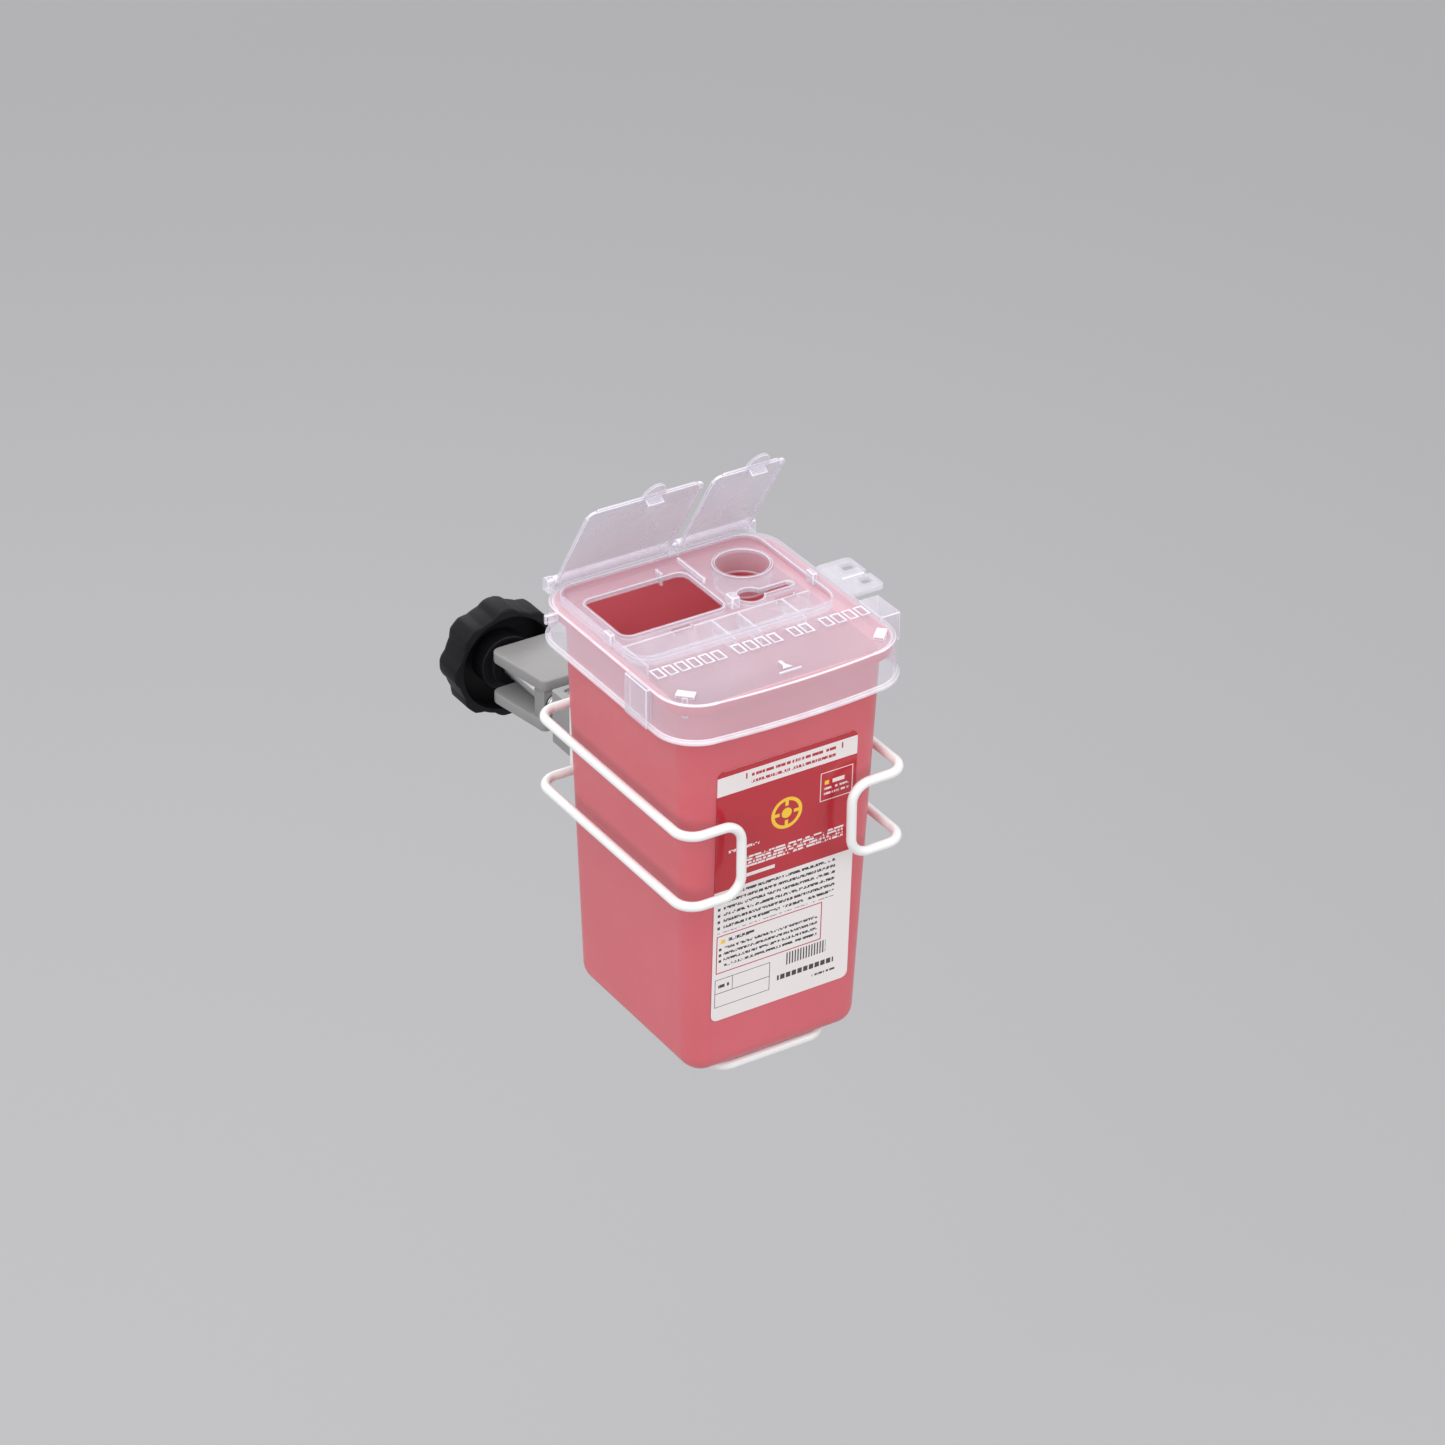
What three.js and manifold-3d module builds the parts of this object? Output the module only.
// Sharps container, one litre class, in its pole holder.
// A translucent tapered bin with a clear snap-on lid and two hinged flaps hangs in a coated wire
// holder. The holder is bolted to a C-shaped pole clamp with a lobed hand knob.
//
// Millimetres, +Z up. The origin is on the pole's axis at the height of the clamp screw.
// The container stands in front of the pole, towards -Y, and its label faces -Y.

import * as THREE from 'three';
import { mergeVertices } from 'three/addons/utils/BufferGeometryUtils.js';
import Module from 'manifold-3d';

const wasm = await Module();
wasm.setup();

// ---- driving dimensions -------------------------------------------------------------------

const GAP = 0.3;                   // between pieces that touch
const POLE_RADIUS = 14.3;          // the tube that the clamp grips

// container body
const BODY_BOTTOM_Z = -74;
const BODY_HEIGHT = 178.1;
const BODY_HALF_WIDTH = 46;        // at the top of the tapered wall
const BODY_FRONT = 50;             // from the container's middle to its front face, at the top
const BODY_BACK = 49.4;            // from the container's middle to its back face, at the top
const BODY_SIDE_TAPER = 6.4;       // how much narrower each side is at the base
const BODY_FRONT_TAPER = 6.5;
const BODY_BACK_TAPER = 2.1;
const BODY_CORNER_RADIUS = 9;
const BODY_BASE_RADIUS = 8;
const BODY_WALL = 1.3;
const RIM_HEIGHT = 5.5;

// label
const LABEL_THICKNESS = 0.25;
const LABEL_GAP = 0.1;
const LABEL_CORNER_RADIUS = 3;

// lid
const LID_CORNER_RADIUS = 17;
const LID_BOW = 1.8;               // the front edge curves forward by this much
const LID_SKIRT = 17.7;
const LID_WALL = 1.3;
const LID_BEAD = 0.9;
const LID_EDGE_FILLET = 2;
const LID_RIM_CLEARANCE = 0.6;     // sideways, between the lid's skirt and the body's rim
const RECESS_DEPTH = 2.2;
const RECESS_CORNER_RADIUS = 8;
const NEEDLE_TUBE_LENGTH = 9.5;
const NEEDLE_TUBE_TAPER = 0.9;
const KEYHOLE_RADIUS = 5.4;
const KEYHOLE_SLOT_WIDTH = 3.6;

// flaps
const FLAP_OPEN_ANGLE = 58;        // degrees above closed, as the flaps stand at rest
const FLAP_THICKNESS = 1.2;
const FLAP_SEAT = 0.4;             // a closed flap lies this far above the lid
const HINGE_BARREL_RADIUS = 1.8;
const HINGE_STUB_RADIUS = 1;
const HINGE_STUB_LENGTH = 1.8;
const HINGE_CLEARANCE = 0.3;
const HINGE_LUG_WIDTH = 3.1;
const FINGER_TAB_HALF_WIDTH = 5.4;
const FINGER_TAB_LENGTH = 8.5;

// wire holder
const WIRE_RADIUS = 2;
const WIRE_BEND_RADIUS = 8;
const RAIL_CLEARANCE = 2.6;        // from the body's widest part to the side rails
const RAIL_FRONT_CLEARANCE = 3.7;
const RAIL_BACK_CLEARANCE = 5.1;
const RAIL_UPPER_Z = 48.6;
const RAIL_SPACING = 31.8;
const BACK_PLATE_THICKNESS = 2.4;
const BACK_PLATE_HALF_WIDTH = 32.8; // across its band, behind the rails
const BACK_PLATE_MARGIN = 3;       // above the upper rail and below the lower one

// clamp
const CLAMP_HALF_HEIGHT = 12.3;
const CLAMP_FLANGE = 5.2;
const CLAMP_WEB = 5;
const CLAMP_ARM_DEPTH = 35.4;
const SCREW_WALL = 8;              // threaded wall between the flanges
const CLAMP_ARM_REACH = 11.8;      // the screw arm, beyond the screw's axis
const NOTCH_HALF_ANGLE = 60;       // degrees, either side of the fixed jaw's notch
const NOTCH_FLOOR = 4.4;           // metal behind the notch
const JAW_HALF_WIDTH = 6.2;
const JAW_LENGTH = 24;
const JAW_ROOM = 7;                // from the jaw to the screw arm
const JAW_BORE_DEPTH = 12;
const GRUB_RADIUS = 2;
const GRUB_BEHIND_FACE = 4.6;      // set screw's axis, forward of the jaw's back face
const SCREW_RADIUS = 4;
const SCREW_GROOVE_RADIUS = 2.9;
const SCREW_TIP_GAP = 0.8;
const KNOB_RADIUS = 25.6;
const KNOB_LOBES = 8;
const KNOB_LOBE_DEPTH = 1.9;
const KNOB_THICKNESS = 16.7;
const KNOB_RIM_WALL = 4;
const KNOB_HOLLOW_DEPTH = 9;
const KNOB_HUB_RADIUS = 12.5;
const KNOB_SPIGOT_RADIUS = 8.9;
const KNOB_SPIGOT_LENGTH = 3;
const KNOB_SPIGOT_GAP = 1.6;       // from the spigot to the screw arm, at rest
const KNOB_SCREW_DEPTH = 13;

// fasteners between the back plate and the clamp
const MOUNTING_SCREW_RADIUS = 2.5;
const MOUNTING_SCREW_X = 9;
const MOUNTING_SCREW_DEPTH = 6;
const WASHER_RADIUS = 5;
const WASHER_THICKNESS = 1;

// ---- derived places -----------------------------------------------------------------------

const NOTCH_SLOPE = Math.tan(THREE.MathUtils.degToRad(NOTCH_HALF_ANGLE));
const NOTCH_APEX_Y = -(POLE_RADIUS + GAP) / Math.sin(THREE.MathUtils.degToRad(NOTCH_HALF_ANGLE));
const FIXED_JAW_Y = -0.71 * POLE_RADIUS;
const CLAMP_FACE_Y = NOTCH_APEX_Y - NOTCH_FLOOR;
const CLAMP_THROAT_X = POLE_RADIUS + 2.2;
const CLAMP_SIDE_X = CLAMP_THROAT_X + 8.5;
const JAW_FRONT_Y = POLE_RADIUS + GAP;
const JAW_BACK_Y = JAW_FRONT_Y + JAW_LENGTH;
const CLAMP_ARM_FRONT_Y = JAW_BACK_Y + JAW_ROOM;
const CLAMP_ARM_BACK_Y = CLAMP_ARM_FRONT_Y + CLAMP_ARM_DEPTH;
const KNOB_FACE_Y = CLAMP_ARM_BACK_Y + KNOB_SPIGOT_GAP + KNOB_SPIGOT_LENGTH;

const PLATE_BACK_Y = CLAMP_FACE_Y - GAP;
const PLATE_FRONT_Y = PLATE_BACK_Y - BACK_PLATE_THICKNESS;
const SPINE_Y = (PLATE_FRONT_Y + PLATE_BACK_Y) / 2;
const RAIL_BACK_Y = SPINE_Y - 2 * WIRE_RADIUS - GAP;
const CONTAINER_Y = RAIL_BACK_Y - WIRE_RADIUS - RAIL_BACK_CLEARANCE - BODY_BACK;
const RAIL_FRONT_Y = CONTAINER_Y - BODY_FRONT - RAIL_FRONT_CLEARANCE - WIRE_RADIUS;
const RAIL_HALF_WIDTH = BODY_HALF_WIDTH + RAIL_CLEARANCE + WIRE_RADIUS;
const RAIL_LOWER_Z = RAIL_UPPER_Z - RAIL_SPACING;
const GUARD_MOUTH_HALF_WIDTH = RAIL_HALF_WIDTH / 2;
const SPINE_HALF_WIDTH = 0.565 * BODY_HALF_WIDTH;
const BAND_BOTTOM_Z = RAIL_LOWER_Z - BACK_PLATE_MARGIN;
const SUPPORT_Z = BODY_BOTTOM_Z - WIRE_RADIUS - GAP;
const SUPPORT_FRONT_Y = CONTAINER_Y - 0.77 * BODY_FRONT;

const BODY_TOP_Z = BODY_BOTTOM_Z + BODY_HEIGHT;
const LID_TOP_Z = BODY_TOP_Z + GAP + LID_WALL;
const LID_BOTTOM_Z = LID_TOP_Z - LID_SKIRT;
const LID_HALF_WIDTH = BODY_HALF_WIDTH + 7;
const LID_HALF_DEPTH = Math.max(BODY_FRONT, BODY_BACK) + 5.6;
const RECESS_FLOOR_Z = LID_TOP_Z - RECESS_DEPTH;
const RECESS_HALF_WIDTH = LID_HALF_WIDTH - 8;
const RECESS_BACK = LID_HALF_DEPTH - 5;
const HINGE_Y = CONTAINER_Y + LID_HALF_DEPTH - 2.6;
const HINGE_Z = LID_TOP_Z + FLAP_SEAT + FLAP_THICKNESS / 2 + HINGE_BARREL_RADIUS;

// Places on the lid, as a share of the recess's half width and of its reach behind the middle.
const acrossLid = (share) => share * RECESS_HALF_WIDTH;
const alongLid = (share) => CONTAINER_Y + share * RECESS_BACK;
const RECESS_FRONT_Y = alongLid(-0.27);
const FLAP_FREE_EDGE_Y = alongLid(0.024);
const FLAP_LENGTH = HINGE_Y - FLAP_FREE_EDGE_Y;
const LARGE_FLAP = { left: acrossLid(-0.993), right: acrossLid(0.162), tab: acrossLid(-0.362) };
const SMALL_FLAP = { left: acrossLid(0.267), right: acrossLid(0.993), tab: acrossLid(0.687) };
const DROP_OPENING = { left: -0.878, right: 0.156, front: 0.14, back: 0.787, corner: 4 };
const NEEDLE_TUBE_X = acrossLid(0.676);
const NEEDLE_TUBE_Y = alongLid(0.656);
const NEEDLE_TUBE_RADIUS = acrossLid(0.273);
const KEYHOLE_X = acrossLid(0.436);
const KEYHOLE_Y = alongLid(0.2);
const KEYHOLE_SLOT_END = acrossLid(0.864);

const LABEL_WIDTH = 1.39 * BODY_HALF_WIDTH;
const LABEL_HEIGHT = 0.657 * BODY_HEIGHT;
const LABEL_MIDDLE_Z = BODY_BOTTOM_Z + 0.474 * BODY_HEIGHT;

// ---- materials ----------------------------------------------------------------------------

function finish(color, roughness, metalness = 0) {
  return new THREE.MeshStandardMaterial({ color, roughness, metalness });
}

const redPlastic = () => finish(0xd0606c, 0.35);
const clearPlastic = () => finish(0xe6dfe6, 0.2);
const labelFilm = () => finish(0xe8dada, 0.5);
const whiteCoating = () => finish(0xf4f4f2, 0.4);
const greyPaint = () => finish(0xb8b8b6, 0.45, 0.2);
const brightSteel = () => finish(0xc4c6c8, 0.3, 0.9);
const blackPlastic = () => finish(0x18181a, 0.55);

// ---- geometry helpers ---------------------------------------------------------------------

// Outline of a rectangle with round corners, counter-clockwise; the front edge can bow forward.
function roundedOutline(x0, x1, y0, y1, radius, bow = 0, arcSteps = 5, frontSteps = 1) {
  const points = [];
  const corners = [
    [x1 - radius, y0 + radius, -Math.PI / 2],
    [x1 - radius, y1 - radius, 0],
    [x0 + radius, y1 - radius, Math.PI / 2],
    [x0 + radius, y0 + radius, Math.PI],
  ];
  for (const [cx, cy, start] of corners) {
    for (let step = 0; step <= arcSteps; step++) {
      const angle = start + (step / arcSteps) * (Math.PI / 2);
      points.push(new THREE.Vector2(cx + radius * Math.cos(angle), cy + radius * Math.sin(angle)));
    }
  }
  for (let step = 1; step < frontSteps; step++) {
    const along = step / frontSteps;
    const x = THREE.MathUtils.lerp(x0 + radius, x1 - radius, along);
    points.push(new THREE.Vector2(x, y0 - bow * (1 - (2 * along - 1) ** 2)));
  }
  return points;
}

// Skin through a stack of outlines with equal point counts, closed by a cap at each end.
function loft(rings) {
  const count = rings[0].points.length;
  const positions = [];
  const index = [];
  for (const ring of rings) {
    for (const point of ring.points) positions.push(point.x, point.y, ring.z);
  }
  for (let ring = 0; ring < rings.length - 1; ring++) {
    for (let i = 0; i < count; i++) {
      const a = ring * count + i;
      const b = ring * count + ((i + 1) % count);
      index.push(a, b, b + count);
      index.push(a, b + count, a + count);
    }
  }
  const last = (rings.length - 1) * count;
  for (const [a, b, c] of THREE.ShapeUtils.triangulateShape(rings[0].points, [])) index.push(c, b, a);
  for (const [a, b, c] of THREE.ShapeUtils.triangulateShape(rings.at(-1).points, [])) {
    index.push(last + a, last + b, last + c);
  }
  const geometry = new THREE.BufferGeometry();
  geometry.setAttribute('position', new THREE.Float32BufferAttribute(positions, 3));
  geometry.setIndex(index);
  return geometry;
}

function prism(points, z0, z1) {
  return loft([{ points, z: z0 }, { points, z: z1 }]);
}

function block(x0, x1, y0, y1, z0, z1) {
  const geometry = new THREE.BoxGeometry(x1 - x0, y1 - y0, z1 - z0);
  return geometry.translate((x0 + x1) / 2, (y0 + y1) / 2, (z0 + z1) / 2);
}

function cylinderX(radius, x0, x1, y, z, sides = 24) {
  const geometry = new THREE.CylinderGeometry(radius, radius, x1 - x0, sides);
  return geometry.rotateZ(Math.PI / 2).translate((x0 + x1) / 2, y, z);
}

function cylinderY(radius, x, y0, y1, z, sides = 24) {
  return new THREE.CylinderGeometry(radius, radius, y1 - y0, sides).translate(x, (y0 + y1) / 2, z);
}

function cylinderZ(radiusLow, radiusHigh, x, y, z0, z1, sides = 32) {
  const geometry = new THREE.CylinderGeometry(radiusHigh, radiusLow, z1 - z0, sides);
  return geometry.rotateX(Math.PI / 2).translate(x, y, (z0 + z1) / 2);
}

function solid(geometry) {
  const bare = geometry.clone();
  bare.deleteAttribute('normal');
  bare.deleteAttribute('uv');
  const merged = mergeVertices(bare, 1e-4);
  return new wasm.Manifold(new wasm.Mesh({
    numProp: 3,
    vertProperties: new Float32Array(merged.attributes.position.array),
    triVerts: new Uint32Array(merged.index.array),
  }));
}

function joined(...geometries) {
  return geometries.map(solid).reduce((sum, next) => sum.add(next));
}

function cut(base, ...tools) {
  return tools.map(solid).reduce((rest, tool) => rest.subtract(tool), base);
}

function geometryOf(manifold) {
  const mesh = manifold.getMesh();
  const geometry = new THREE.BufferGeometry();
  geometry.setAttribute('position', new THREE.Float32BufferAttribute(mesh.vertProperties, 3));
  geometry.setIndex(new THREE.Uint32BufferAttribute(mesh.triVerts, 1));
  geometry.computeVertexNormals();
  return geometry;
}

// Polygon with a fillet at each corner; corners is a list of [x, y, radius].
function filletedPolygon(corners, arcSteps = 4) {
  const points = [];
  corners.forEach(([x, y, radius], i) => {
    const [px, py] = corners[(i + corners.length - 1) % corners.length];
    const [nx, ny] = corners[(i + 1) % corners.length];
    const corner = new THREE.Vector2(x, y);
    if (radius === 0) {
      points.push(corner);
      return;
    }
    const toPrevious = new THREE.Vector2(px - x, py - y).normalize();
    const toNext = new THREE.Vector2(nx - x, ny - y).normalize();
    const half = Math.acos(THREE.MathUtils.clamp(toPrevious.dot(toNext), -1, 1)) / 2;
    const reach = radius / Math.tan(half);
    const toCentre = toPrevious.clone().add(toNext).setLength(radius / Math.sin(half));
    const centre = toCentre.add(corner);
    const start = corner.clone().addScaledVector(toPrevious, reach).sub(centre).angle();
    const end = corner.clone().addScaledVector(toNext, reach).sub(centre).angle();
    const sweep = THREE.MathUtils.euclideanModulo(end - start + Math.PI, 2 * Math.PI) - Math.PI;
    for (let step = 0; step <= arcSteps; step++) {
      const angle = start + (sweep * step) / arcSteps;
      const spoke = new THREE.Vector2(Math.cos(angle), Math.sin(angle)).multiplyScalar(radius);
      points.push(spoke.add(centre));
    }
  });
  return points;
}

// A wire's centre line: straight runs between corners, with an arc at each bend.
class BentWire extends THREE.Curve {
  constructor(corners, bendRadius, arcSteps = 6) {
    super();
    this.points = [corners[0].clone()];
    for (let i = 1; i < corners.length - 1; i++) {
      const before = corners[i - 1].clone().sub(corners[i]).normalize();
      const after = corners[i + 1].clone().sub(corners[i]).normalize();
      const half = before.angleTo(after) / 2;
      const reach = bendRadius / Math.tan(half);
      const toCentre = before.clone().add(after).setLength(bendRadius / Math.sin(half));
      const centre = toCentre.add(corners[i]);
      const from = corners[i].clone().addScaledVector(before, reach).sub(centre);
      const axis = before.clone().cross(after).normalize();
      const turn = Math.PI - 2 * half;
      for (let step = 0; step <= arcSteps; step++) {
        const spoke = from.clone().applyAxisAngle(axis, (-turn * step) / arcSteps);
        this.points.push(spoke.add(centre));
      }
    }
    this.points.push(corners.at(-1).clone());
  }

  getPoint(t, target = new THREE.Vector3()) {
    const place = t * (this.points.length - 1);
    const first = Math.min(Math.floor(place + 1e-9), this.points.length - 2);
    return target.lerpVectors(this.points[first], this.points[first + 1], place - first);
  }

  getPointAt(u, target) {
    return this.getPoint(u, target);
  }

  getTangentAt(u, target = new THREE.Vector3()) {
    const last = this.points.length - 1;
    const here = Math.round(u * last);
    const ahead = this.points[Math.min(here + 1, last)];
    const behind = this.points[Math.max(here - 1, 0)];
    return target.subVectors(ahead, behind).normalize();
  }
}

function wire(corners, radius = WIRE_RADIUS, bendRadius = WIRE_BEND_RADIUS) {
  const path = new BentWire(corners, bendRadius);
  const section = new THREE.Shape().absarc(0, 0, radius, 0, 2 * Math.PI);
  return new THREE.ExtrudeGeometry(section, {
    steps: path.points.length - 1,
    bevelEnabled: false,
    curveSegments: 12,
    extrudePath: path,
  });
}

function piece(name, geometry, material) {
  const mesh = new THREE.Mesh(geometry, material);
  mesh.name = name;
  return mesh;
}

// ---- container body -----------------------------------------------------------------------

function taper(z) {
  return 1 - (z - BODY_BOTTOM_Z) / BODY_HEIGHT;
}

function bodyFront(z) {
  return CONTAINER_Y - BODY_FRONT + BODY_FRONT_TAPER * taper(z);
}

function bodyOutline(z, inset) {
  const halfWidth = BODY_HALF_WIDTH - BODY_SIDE_TAPER * taper(z) - inset;
  const back = CONTAINER_Y + BODY_BACK - BODY_BACK_TAPER * taper(z) - inset;
  const radius = Math.max(BODY_CORNER_RADIUS - inset, 1);
  return roundedOutline(-halfWidth, halfWidth, bodyFront(z) + inset, back, radius);
}

function rimOutline(inset) {
  const halfWidth = LID_HALF_WIDTH - inset;
  const halfDepth = LID_HALF_DEPTH - inset;
  const radius = LID_CORNER_RADIUS - inset;
  return roundedOutline(-halfWidth, halfWidth, CONTAINER_Y - halfDepth, CONTAINER_Y + halfDepth, radius);
}

// Tapered bin: outside from the rounded base to the flared rim, then down the inside.
function containerBody() {
  const wall = (z, inset) => ({ points: bodyOutline(z, inset), z });
  const rim = (z, inset) => ({ points: rimOutline(inset), z });
  const rimInset = LID_WALL + LID_RIM_CLEARANCE;
  const rimLowZ = BODY_TOP_Z - RIM_HEIGHT;
  const rings = [];
  const baseSteps = 4;
  for (let step = 0; step <= baseSteps; step++) {
    const angle = (step / baseSteps) * (Math.PI / 2);
    const inset = BODY_BASE_RADIUS * (1 - Math.sin(angle));
    rings.push(wall(BODY_BOTTOM_Z + BODY_BASE_RADIUS * (1 - Math.cos(angle)), inset));
  }
  rings.push(wall(rimLowZ, 0));
  rings.push(rim(rimLowZ + 0.8, rimInset));
  rings.push(rim(BODY_TOP_Z, rimInset));
  rings.push(rim(BODY_TOP_Z, rimInset + BODY_WALL));
  rings.push(rim(rimLowZ + 2.3, rimInset + BODY_WALL));
  rings.push(wall(rimLowZ + 1.5, BODY_WALL));
  rings.push(wall(BODY_BOTTOM_Z + BODY_BASE_RADIUS, BODY_WALL));
  rings.push(wall(BODY_BOTTOM_Z + BODY_WALL, BODY_BASE_RADIUS));
  return piece('container_body', loft(rings), redPlastic());
}

// Flat label on the leaning front face.
function frontLabel() {
  const lean = Math.atan2(BODY_FRONT_TAPER, BODY_HEIGHT);
  const halfWidth = LABEL_WIDTH / 2;
  const halfHeight = LABEL_HEIGHT / 2;
  const outline = roundedOutline(-halfWidth, halfWidth, -halfHeight, halfHeight, LABEL_CORNER_RADIUS);
  const geometry = prism(outline, LABEL_GAP, LABEL_GAP + LABEL_THICKNESS);
  geometry.rotateX(Math.PI / 2 + lean);
  geometry.translate(0, bodyFront(LABEL_MIDDLE_Z), LABEL_MIDDLE_Z);
  return piece('front_label', geometry, labelFilm());
}

// ---- lid ----------------------------------------------------------------------------------

function lidOutline(inset) {
  const halfWidth = LID_HALF_WIDTH - inset;
  const halfDepth = LID_HALF_DEPTH - inset;
  const radius = LID_CORNER_RADIUS - inset;
  const front = CONTAINER_Y - halfDepth;
  const back = CONTAINER_Y + halfDepth;
  return roundedOutline(-halfWidth, halfWidth, front, back, radius, LID_BOW, 6, 6);
}

function recessOutline(grow) {
  const halfWidth = RECESS_HALF_WIDTH + grow;
  const back = CONTAINER_Y + RECESS_BACK + grow;
  return roundedOutline(-halfWidth, halfWidth, RECESS_FRONT_Y - grow, back, RECESS_CORNER_RADIUS + grow);
}

function dropOutline(grow) {
  const { left, right, front, back, corner } = DROP_OPENING;
  const [x0, x1] = [acrossLid(left) - grow, acrossLid(right) + grow];
  const [y0, y1] = [alongLid(front) - grow, alongLid(back) + grow];
  return roundedOutline(x0, x1, y0, y1, corner + grow);
}

function keyhole(grow, z0, z1) {
  const half = KEYHOLE_SLOT_WIDTH / 2 + grow;
  const slotRight = KEYHOLE_SLOT_END + grow;
  const slot = roundedOutline(KEYHOLE_X, slotRight, KEYHOLE_Y - half, KEYHOLE_Y + half, half * 0.9);
  return [
    cylinderZ(KEYHOLE_RADIUS + grow, KEYHOLE_RADIUS + grow, KEYHOLE_X, KEYHOLE_Y, z0, z1, 24),
    prism(slot, z0, z1),
  ];
}

// Bearing lugs for the flaps' stub pins: one at each end and one between the flaps.
function hingeLugs() {
  const spans = [
    [LARGE_FLAP.left - HINGE_CLEARANCE - HINGE_LUG_WIDTH, LARGE_FLAP.left - HINGE_CLEARANCE],
    [LARGE_FLAP.right + HINGE_CLEARANCE, SMALL_FLAP.left - HINGE_CLEARANCE],
    [SMALL_FLAP.right + HINGE_CLEARANCE, SMALL_FLAP.right + HINGE_CLEARANCE + HINGE_LUG_WIDTH],
  ];
  const radius = HINGE_BARREL_RADIUS + 0.4;
  return spans.flatMap(([x0, x1]) => [
    cylinderX(radius, x0, x1, HINGE_Y, HINGE_Z, 20),
    block(x0, x1, HINGE_Y - radius, HINGE_Y + radius, LID_TOP_Z - 1.2, HINGE_Z),
  ]);
}

// Cross web and ribs under the recess floor, in front of the two openings.
function stiffeningRibs() {
  const webY = alongLid(DROP_OPENING.front) - 3;
  const ribZ = RECESS_FLOOR_Z - 7;
  const topZ = RECESS_FLOOR_Z - 0.5;
  const ribs = [block(acrossLid(-0.95), acrossLid(0.95), webY - 1.1, webY, RECESS_FLOOR_Z - 9.5, topZ)];
  for (const share of [-0.93, -0.05, 0.213, 0.667]) {
    const x = acrossLid(share);
    ribs.push(block(x - 0.55, x + 0.55, RECESS_FRONT_Y - 0.5, webY - 0.5, ribZ, topZ));
  }
  return ribs;
}

// Catches beside the flaps' free corners.
function flapCatches() {
  const y = FLAP_FREE_EDGE_Y + 6;
  const reach = 0.5;
  const spans = [
    [-RECESS_HALF_WIDTH - 2.4, LARGE_FLAP.left - reach],
    [LARGE_FLAP.right + reach, SMALL_FLAP.left - reach],
    [SMALL_FLAP.right + reach, RECESS_HALF_WIDTH + 2.4],
  ];
  return spans.map(([x0, x1]) => block(x0, x1, y - 2.6, y + 2.6, RECESS_FLOOR_Z - 0.5, LID_TOP_Z + 2.4));
}

// Side lugs on the skirt, the small ear on the left and the windowed tab on the right.
function sideFeatures() {
  const side = LID_HALF_WIDTH;
  const lugFrontY = CONTAINER_Y - 33.6;
  const lugBackY = CONTAINER_Y - 17.6;
  return [
    block(-side - 1.6, -side + 1, lugFrontY, lugBackY, LID_BOTTOM_Z, LID_TOP_Z - 0.6),
    block(side - 1, side + 8, lugFrontY, lugBackY, LID_TOP_Z - 13, LID_TOP_Z - 0.6),
    block(side - 1, side + 15.4, CONTAINER_Y - 12, CONTAINER_Y + 14.4, LID_TOP_Z - 2.6, LID_TOP_Z - 0.8),
    block(-side - 5, -side + 1, CONTAINER_Y + 35.6, CONTAINER_Y + 37.4, LID_TOP_Z - 5, LID_TOP_Z - 1),
  ];
}

function tabWindows() {
  const z0 = LID_TOP_Z - 4;
  const x = LID_HALF_WIDTH + 10.6;
  return [
    block(x - 3, x + 3, CONTAINER_Y + 5.4, CONTAINER_Y + 10.6, z0, LID_TOP_Z),
    block(x - 2.6, x + 2.6, CONTAINER_Y - 7.4, CONTAINER_Y - 2.4, z0, LID_TOP_Z),
    block(x + 2.6, x + 6, CONTAINER_Y - 1, CONTAINER_Y + 1.8, z0, LID_TOP_Z),
  ];
}

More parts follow.
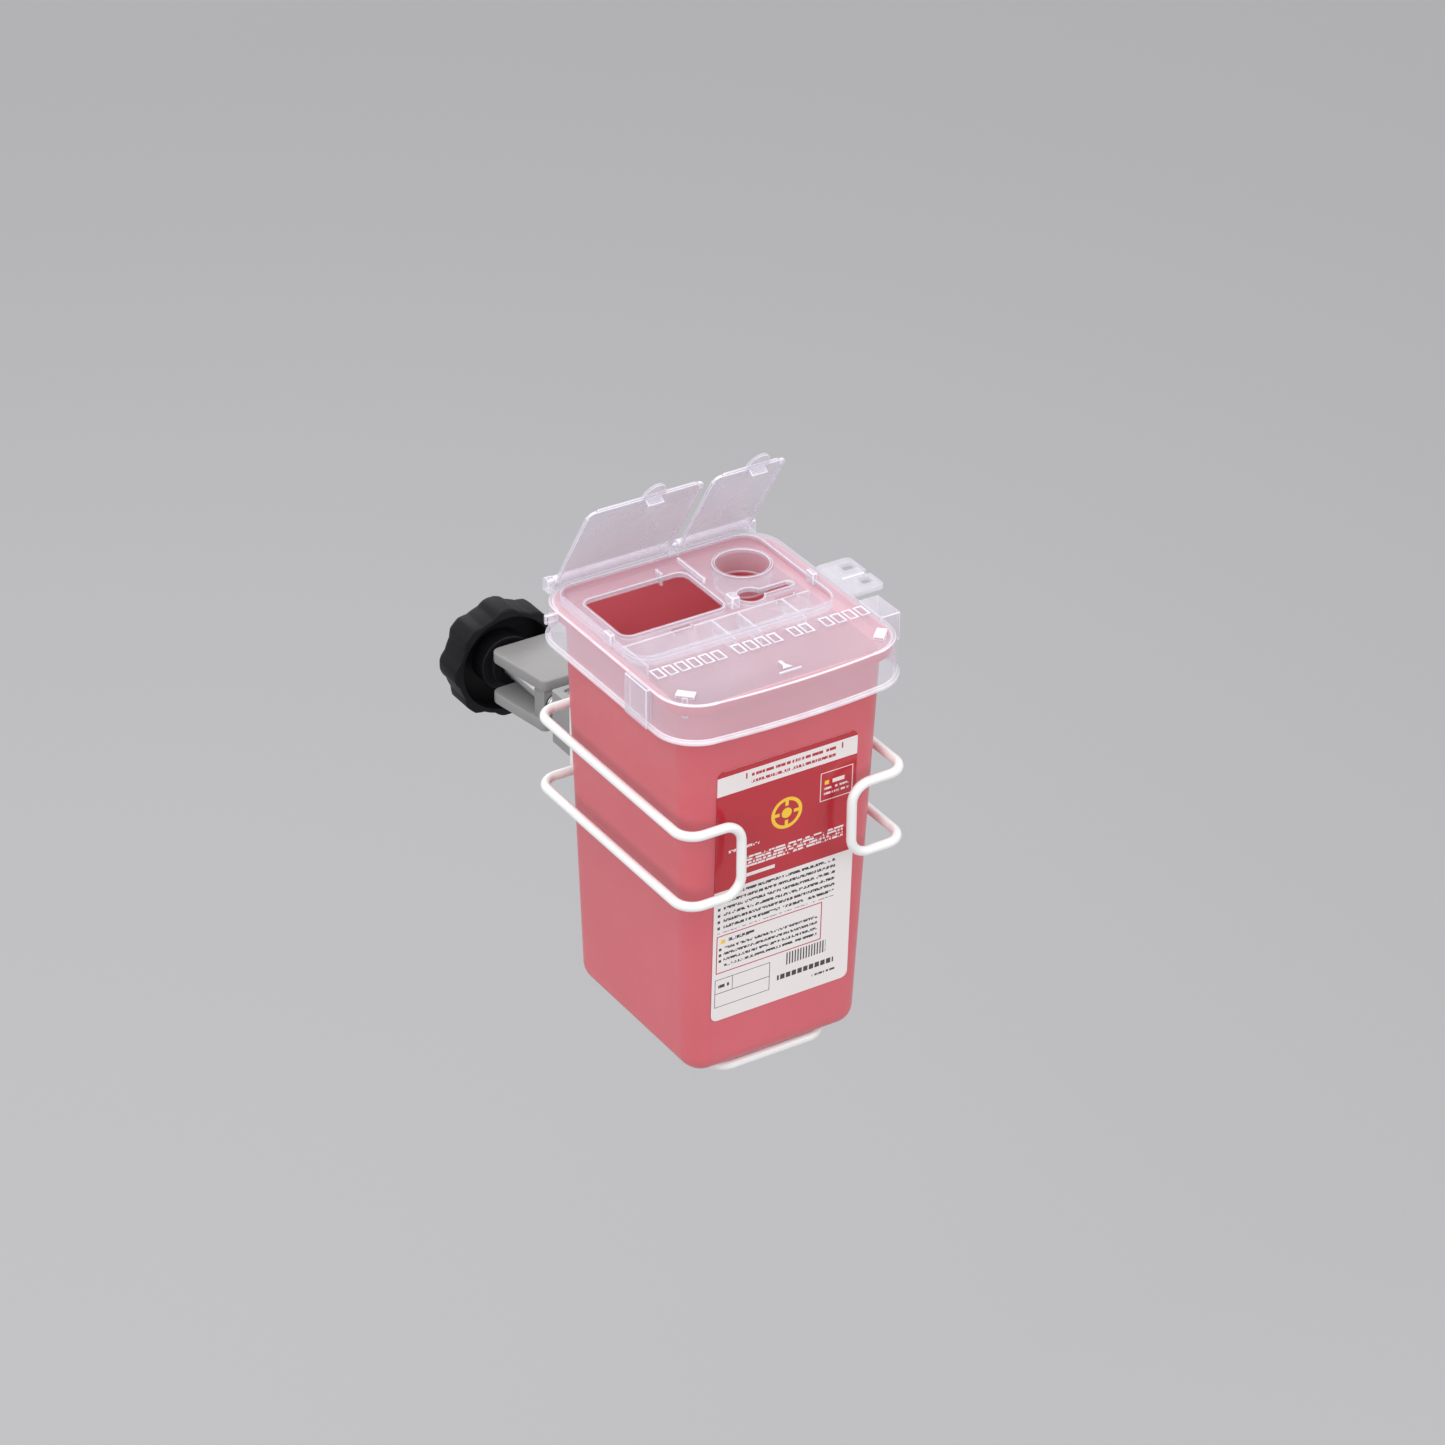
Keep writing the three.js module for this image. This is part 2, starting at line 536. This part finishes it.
function lid() {
  const fillet = LID_EDGE_FILLET;
  const shell = loft([
    { points: lidOutline(-LID_BEAD), z: LID_BOTTOM_Z },
    { points: lidOutline(-LID_BEAD), z: LID_BOTTOM_Z + 1.5 },
    { points: lidOutline(0), z: LID_BOTTOM_Z + 2 },
    { points: lidOutline(0.2), z: LID_TOP_Z - fillet },
    { points: lidOutline(fillet * 0.35), z: LID_TOP_Z - fillet * 0.3 },
    { points: lidOutline(fillet), z: LID_TOP_Z },
  ]);
  const cavity = prism(lidOutline(LID_WALL), LID_BOTTOM_Z - 1, LID_TOP_Z - LID_WALL);
  const pan = prism(recessOutline(LID_WALL), RECESS_FLOOR_Z - LID_WALL, LID_TOP_Z - 0.5);
  const recess = prism(recessOutline(0), RECESS_FLOOR_Z, LID_TOP_Z + 1);
  const wideRadius = NEEDLE_TUBE_RADIUS;
  const narrowRadius = NEEDLE_TUBE_RADIUS - NEEDLE_TUBE_TAPER;
  const tubeLowZ = RECESS_FLOOR_Z - NEEDLE_TUBE_LENGTH;
  const tubeTopZ = RECESS_FLOOR_Z + 0.8;
  const tubeAt = [NEEDLE_TUBE_X, NEEDLE_TUBE_Y];
  const tube = cylinderZ(narrowRadius, wideRadius, ...tubeAt, tubeLowZ, tubeTopZ);
  const boreRadii = [narrowRadius - LID_WALL, wideRadius - LID_WALL];
  const bore = cylinderZ(...boreRadii, ...tubeAt, tubeLowZ - 0.5, tubeTopZ + 0.7);
  const floorCut = [RECESS_FLOOR_Z - 3, RECESS_FLOOR_Z + 2];
  const dividerX = (LARGE_FLAP.right + SMALL_FLAP.left) / 2;
  const hookSlots = [LARGE_FLAP.tab, SMALL_FLAP.tab].map(
    (x) => block(x - 5, x + 5, FLAP_FREE_EDGE_Y - 0.4, FLAP_FREE_EDGE_Y + 2.4, ...floorCut));
  const blank = cut(cut(solid(shell), cavity).add(solid(pan)), recess);
  const furnished = blank.add(joined(
    tube,
    prism(dropOutline(1), RECESS_FLOOR_Z - 0.5, RECESS_FLOOR_Z + 0.7),
    ...keyhole(0.8, RECESS_FLOOR_Z - 0.5, RECESS_FLOOR_Z + 0.6),
    ...stiffeningRibs(),
    ...flapCatches(),
    ...hingeLugs(),
    block(dividerX - 0.6, dividerX + 0.6, alongLid(0.55), alongLid(0.95), RECESS_FLOOR_Z - 0.5, LID_TOP_Z),
    ...sideFeatures(),
  ));
  const shape = cut(
    furnished,
    bore,
    prism(dropOutline(0), ...floorCut),
    ...keyhole(0, ...floorCut),
    ...hookSlots,
    ...tabWindows(),
    cylinderX(HINGE_STUB_RADIUS + HINGE_CLEARANCE, -LID_HALF_WIDTH, LID_HALF_WIDTH, HINGE_Y, HINGE_Z, 16),
  );
  return piece('lid', geometryOf(shape), clearPlastic());
}

// ---- flaps --------------------------------------------------------------------------------

// A flap in its closed attitude about its own hinge axis, then turned up to its rest angle.
function flap(name, { left, right, tab }) {
  const plateTop = -HINGE_BARREL_RADIUS + FLAP_THICKNESS / 2;
  const plateBottom = plateTop - FLAP_THICKNESS;
  const edge = 1.2;
  const tabRadii = [FINGER_TAB_HALF_WIDTH, FINGER_TAB_LENGTH];
  const tabShape = new THREE.Shape();
  tabShape.absellipse(tab, -FLAP_LENGTH + 0.5, ...tabRadii, Math.PI, 2 * Math.PI);
  const fingerTab = new THREE.ExtrudeGeometry(tabShape, {
    depth: FLAP_THICKNESS,
    bevelEnabled: false,
    curveSegments: 12,
  });
  const shape = joined(
    prism(roundedOutline(left, right, -FLAP_LENGTH, -0.4, 3), plateBottom, plateTop),
    fingerTab.translate(0, 0, plateBottom),
    block(left, left + edge, -FLAP_LENGTH + 4, -4, plateBottom, plateTop + 0.5),
    block(right - edge, right, -FLAP_LENGTH + 4, -4, plateBottom, plateTop + 0.5),
    block(tab - 3.6, tab + 3.6, -FLAP_LENGTH + 0.4, -FLAP_LENGTH + 1.6, plateBottom - 3, plateBottom + 0.2),
    cylinderX(HINGE_BARREL_RADIUS, left, right, 0, 0, 20),
    cylinderX(HINGE_STUB_RADIUS, left - HINGE_STUB_LENGTH, right + HINGE_STUB_LENGTH, 0, 0, 12),
  );
  const mesh = piece(name, geometryOf(shape), clearPlastic());
  mesh.position.set(0, HINGE_Y, HINGE_Z);
  mesh.rotation.x = -THREE.MathUtils.degToRad(FLAP_OPEN_ANGLE);
  return mesh;
}

// ---- wire holder --------------------------------------------------------------------------

// One guard wire: from the back, along the top rail, down across the mouth and back again.
function guardWire(name, side) {
  const at = (x, y, z) => new THREE.Vector3(side * x, y, z);
  const corners = [
    at(GAP / 2, RAIL_BACK_Y, RAIL_UPPER_Z),
    at(RAIL_HALF_WIDTH, RAIL_BACK_Y, RAIL_UPPER_Z),
    at(RAIL_HALF_WIDTH, RAIL_FRONT_Y, RAIL_UPPER_Z),
    at(GUARD_MOUTH_HALF_WIDTH, RAIL_FRONT_Y, RAIL_UPPER_Z),
    at(GUARD_MOUTH_HALF_WIDTH, RAIL_FRONT_Y, RAIL_LOWER_Z),
    at(RAIL_HALF_WIDTH, RAIL_FRONT_Y, RAIL_LOWER_Z),
    at(RAIL_HALF_WIDTH, RAIL_BACK_Y, RAIL_LOWER_Z),
    at(GAP / 2, RAIL_BACK_Y, RAIL_LOWER_Z),
  ];
  return piece(name, wire(corners), whiteCoating());
}

// Two spines down from the back plate, joined by a loop under the container.
function supportWire() {
  const topZ = BAND_BOTTOM_Z - GAP;
  const x = SPINE_HALF_WIDTH;
  const corners = [
    new THREE.Vector3(-x, SPINE_Y, topZ),
    new THREE.Vector3(-x, SPINE_Y, SUPPORT_Z),
    new THREE.Vector3(-x, SUPPORT_FRONT_Y, SUPPORT_Z),
    new THREE.Vector3(x, SUPPORT_FRONT_Y, SUPPORT_Z),
    new THREE.Vector3(x, SPINE_Y, SUPPORT_Z),
    new THREE.Vector3(x, SPINE_Y, topZ),
  ];
  return piece('support_wire', wire(corners), whiteCoating());
}

// T-shaped plate: a wide band behind the rails, and a tongue between the spines to the clamp.
function backPlate() {
  const half = BACK_PLATE_HALF_WIDTH;
  const bandTopZ = RAIL_UPPER_Z + BACK_PLATE_MARGIN;
  const band = block(-half, half, PLATE_FRONT_Y, PLATE_BACK_Y, BAND_BOTTOM_Z, bandTopZ);
  const tongueHalf = SPINE_HALF_WIDTH - WIRE_RADIUS - GAP;
  const tongueAcross = [-tongueHalf, tongueHalf, PLATE_FRONT_Y, PLATE_BACK_Y];
  const tongue = block(...tongueAcross, -CLAMP_HALF_HEIGHT, BAND_BOTTOM_Z + 1);
  const holes = [-MOUNTING_SCREW_X, MOUNTING_SCREW_X].map(
    (x) => cylinderY(MOUNTING_SCREW_RADIUS + GAP, x, PLATE_FRONT_Y - 1, PLATE_BACK_Y + 1, 0));
  return piece('back_plate', geometryOf(cut(joined(band, tongue), ...holes)), whiteCoating());
}

// Button-head screw through the back plate into the clamp.
function mountingScrew(name, x) {
  const underHeadY = PLATE_FRONT_Y - WASHER_THICKNESS - 2 * GAP;
  const headProfile = [[0, 0], [4.6, 0], [4.6, 0.8], [3.6, 2.1], [2.2, 2.6], [0, 2.6]];
  const head = new THREE.LatheGeometry(headProfile.map(([radius, y]) => new THREE.Vector2(radius, y)), 24);
  head.rotateX(Math.PI).translate(x, underHeadY, 0);
  const shankEndY = CLAMP_FACE_Y + MOUNTING_SCREW_DEPTH;
  const shank = cylinderY(MOUNTING_SCREW_RADIUS, x, underHeadY - 0.5, shankEndY, 0, 20);
  const socket = cylinderY(1.6, x, underHeadY - 3, underHeadY - 1, 0, 6);
  return piece(name, geometryOf(cut(joined(head, shank), socket)), brightSteel());
}

function mountingWasher(name, x) {
  const backY = PLATE_FRONT_Y - GAP;
  const disc = solid(cylinderY(WASHER_RADIUS, x, backY - WASHER_THICKNESS, backY, 0));
  const hole = cylinderY(MOUNTING_SCREW_RADIUS + GAP, x, backY - 2, backY + 1, 0);
  return piece(name, geometryOf(cut(disc, hole)), brightSteel());
}

// ---- clamp --------------------------------------------------------------------------------

// C-shaped casting: two flanges, joined by a solid fixed jaw, a spine and the screw's wall.
function clampFrame() {
  const armEndX = -CLAMP_ARM_REACH;
  const frontEndX = -POLE_RADIUS - 0.7;
  const plan = filletedPolygon([
    [frontEndX, CLAMP_FACE_Y, 2],
    [CLAMP_SIDE_X, CLAMP_FACE_Y, 8],
    [CLAMP_SIDE_X, CLAMP_ARM_BACK_Y, 10],
    [armEndX, CLAMP_ARM_BACK_Y, 4],
    [armEndX + 5.8, CLAMP_ARM_FRONT_Y, 3],
    [CLAMP_THROAT_X, CLAMP_ARM_FRONT_Y, 5],
    [CLAMP_THROAT_X, FIXED_JAW_Y, 3],
    [frontEndX, FIXED_JAW_Y, 2],
  ]);
  const innerZ = CLAMP_HALF_HEIGHT - CLAMP_FLANGE;
  const coreZ = innerZ + 0.6;
  const webX = CLAMP_SIDE_X - 2 - CLAMP_WEB;
  const ribY = CLAMP_ARM_FRONT_Y + 0.6 * CLAMP_ARM_DEPTH;
  const wallY = CLAMP_ARM_FRONT_Y + 0.8;
  const wallX = -SCREW_RADIUS - GAP - 1.1;
  const body = joined(
    prism(plan, innerZ, CLAMP_HALF_HEIGHT),
    prism(plan, -CLAMP_HALF_HEIGHT, -innerZ),
    block(frontEndX + 0.6, CLAMP_SIDE_X - 4, CLAMP_FACE_Y + 0.02, FIXED_JAW_Y - 0.02, -coreZ, coreZ),
    block(webX, webX + CLAMP_WEB, FIXED_JAW_Y - 2, CLAMP_ARM_BACK_Y - 6, -coreZ, coreZ),
    block(SCREW_RADIUS + 2, webX + 1, ribY - 3, ribY + 3, -coreZ, coreZ),
    block(wallX, webX + 1, wallY, wallY + SCREW_WALL, -coreZ, coreZ),
  );
  const mouthY = FIXED_JAW_Y + 2;
  const halfMouth = (mouthY - NOTCH_APEX_Y) * NOTCH_SLOPE;
  const notch = [
    new THREE.Vector2(0, NOTCH_APEX_Y),
    new THREE.Vector2(halfMouth, mouthY),
    new THREE.Vector2(-halfMouth, mouthY),
  ];
  const screwHoleEndY = CLAMP_FACE_Y + MOUNTING_SCREW_DEPTH + 0.6;
  const screwHoles = [-MOUNTING_SCREW_X, MOUNTING_SCREW_X].map(
    (x) => cylinderY(MOUNTING_SCREW_RADIUS + GAP, x, CLAMP_FACE_Y - 1, screwHoleEndY, 0));
  const shape = cut(
    body,
    prism(notch, -CLAMP_HALF_HEIGHT - 1, CLAMP_HALF_HEIGHT + 1),
    cylinderY(SCREW_RADIUS + GAP, 0, CLAMP_ARM_FRONT_Y - 1, CLAMP_ARM_BACK_Y + 1, 0, 32),
    ...screwHoles,
  );
  return piece('clamp_frame', geometryOf(shape), greyPaint());
}

// Sliding jaw: hollowed front against the pole, blind bore for the screw's tip behind.
function movingJaw() {
  const hollow = JAW_HALF_WIDTH / 4;
  const outline = [
    new THREE.Vector2(-JAW_HALF_WIDTH, JAW_FRONT_Y - hollow),
    new THREE.Vector2(0, JAW_FRONT_Y),
    new THREE.Vector2(JAW_HALF_WIDTH, JAW_FRONT_Y - hollow),
    new THREE.Vector2(JAW_HALF_WIDTH, JAW_BACK_Y - 1),
    new THREE.Vector2(JAW_HALF_WIDTH - 1, JAW_BACK_Y),
    new THREE.Vector2(-JAW_HALF_WIDTH + 1, JAW_BACK_Y),
    new THREE.Vector2(-JAW_HALF_WIDTH, JAW_BACK_Y - 1),
  ];
  const grubY = JAW_BACK_Y - GRUB_BEHIND_FACE;
  const shape = cut(
    solid(prism(outline, -CLAMP_HALF_HEIGHT, CLAMP_HALF_HEIGHT)),
    cylinderY(SCREW_RADIUS + GAP, 0, JAW_BACK_Y - JAW_BORE_DEPTH, JAW_BACK_Y + 1, 0),
    cylinderZ(GRUB_RADIUS + GAP, GRUB_RADIUS + GAP, 0, grubY, 0, CLAMP_HALF_HEIGHT + 1, 20),
  );
  return piece('moving_jaw', geometryOf(shape), greyPaint());
}

function jawSetScrew() {
  const y = JAW_BACK_Y - GRUB_BEHIND_FACE;
  const topZ = CLAMP_HALF_HEIGHT - 1;
  const body = solid(cylinderZ(GRUB_RADIUS, GRUB_RADIUS, 0, y, SCREW_GROOVE_RADIUS + GAP, topZ, 20));
  const socket = cylinderZ(1.1, 1.1, 0, y, topZ - 2.2, topZ + 1, 6);
  return piece('jaw_set_screw', geometryOf(cut(body, socket)), brightSteel());
}

// Clamp screw: a groove near its tip turns freely round the jaw's set screw.
function clampScrew() {
  const tipY = JAW_BACK_Y - JAW_BORE_DEPTH + SCREW_TIP_GAP;
  const grooveY = JAW_BACK_Y - GRUB_BEHIND_FACE;
  const grooveHalf = GRUB_RADIUS + GAP;
  const endY = KNOB_FACE_Y + KNOB_SCREW_DEPTH - GAP;
  const profile = [
    new THREE.Vector2(0, tipY),
    new THREE.Vector2(SCREW_GROOVE_RADIUS, tipY),
    new THREE.Vector2(SCREW_RADIUS, tipY + 1),
    new THREE.Vector2(SCREW_RADIUS, grooveY - grooveHalf),
    new THREE.Vector2(SCREW_GROOVE_RADIUS, grooveY - grooveHalf),
    new THREE.Vector2(SCREW_GROOVE_RADIUS, grooveY + grooveHalf),
    new THREE.Vector2(SCREW_RADIUS, grooveY + grooveHalf),
    new THREE.Vector2(SCREW_RADIUS, endY),
    new THREE.Vector2(0, endY),
  ];
  return piece('clamp_screw', new THREE.LatheGeometry(profile, 32), brightSteel());
}

// Lobed outline of the knob, in the plane across its axis.
function knobOutline(radius) {
  const points = [];
  const steps = KNOB_LOBES * 6;
  for (let step = 0; step < steps; step++) {
    const angle = (step / steps) * 2 * Math.PI;
    const wave = Math.tanh(2.2 * Math.cos(KNOB_LOBES * angle));
    const r = radius + KNOB_LOBE_DEPTH * 0.5 * (wave - 1);
    points.push(new THREE.Vector2(r * Math.cos(angle), r * Math.sin(angle)));
  }
  return points;
}

// Hollow-backed knob, with a hub and spigot round the screw.
function clampKnob() {
  const faceY = KNOB_FACE_Y;
  const spigotY = faceY - KNOB_SPIGOT_LENGTH;
  const rim = loft([
    { points: knobOutline(KNOB_RADIUS - 1), z: 0 },
    { points: knobOutline(KNOB_RADIUS), z: 1 },
    { points: knobOutline(KNOB_RADIUS), z: KNOB_THICKNESS - 4 },
    { points: knobOutline(KNOB_RADIUS - 2), z: KNOB_THICKNESS - 1 },
    { points: knobOutline(KNOB_RADIUS - 5), z: KNOB_THICKNESS },
  ]);
  rim.rotateX(-Math.PI / 2).translate(0, faceY, 0);
  const hollow = cylinderY(KNOB_RADIUS - KNOB_RIM_WALL, 0, faceY - 1, faceY + KNOB_HOLLOW_DEPTH, 0, 40);
  const hub = cylinderY(KNOB_HUB_RADIUS, 0, faceY, faceY + KNOB_HOLLOW_DEPTH + 1, 0, 32);
  const spigot = cylinderY(KNOB_SPIGOT_RADIUS, 0, spigotY, faceY + 1, 0, 32);
  const bore = cylinderY(SCREW_RADIUS + GAP, 0, spigotY - 1, faceY + KNOB_SCREW_DEPTH, 0, 32);
  const shape = cut(cut(solid(rim), hollow).add(joined(hub, spigot)), bore);
  return piece('clamp_knob', geometryOf(shape), blackPlastic());
}

// ---- assembly -----------------------------------------------------------------------------

const container = new THREE.Group();
container.add(containerBody(), frontLabel());

const lidAssembly = new THREE.Group();
lidAssembly.add(lid(), flap('large_flap', LARGE_FLAP), flap('small_flap', SMALL_FLAP));

const holder = new THREE.Group();
holder.add(guardWire('left_guard_wire', -1), guardWire('right_guard_wire', 1), supportWire(), backPlate());
holder.add(mountingScrew('left_mounting_screw', -MOUNTING_SCREW_X));
holder.add(mountingScrew('right_mounting_screw', MOUNTING_SCREW_X));
holder.add(mountingWasher('left_mounting_washer', -MOUNTING_SCREW_X));
holder.add(mountingWasher('right_mounting_washer', MOUNTING_SCREW_X));

const clamp = new THREE.Group();
clamp.add(clampFrame(), movingJaw(), jawSetScrew(), clampScrew(), clampKnob());

const part = new THREE.Group();
part.add(container, lidAssembly, holder, clamp);

export default part;
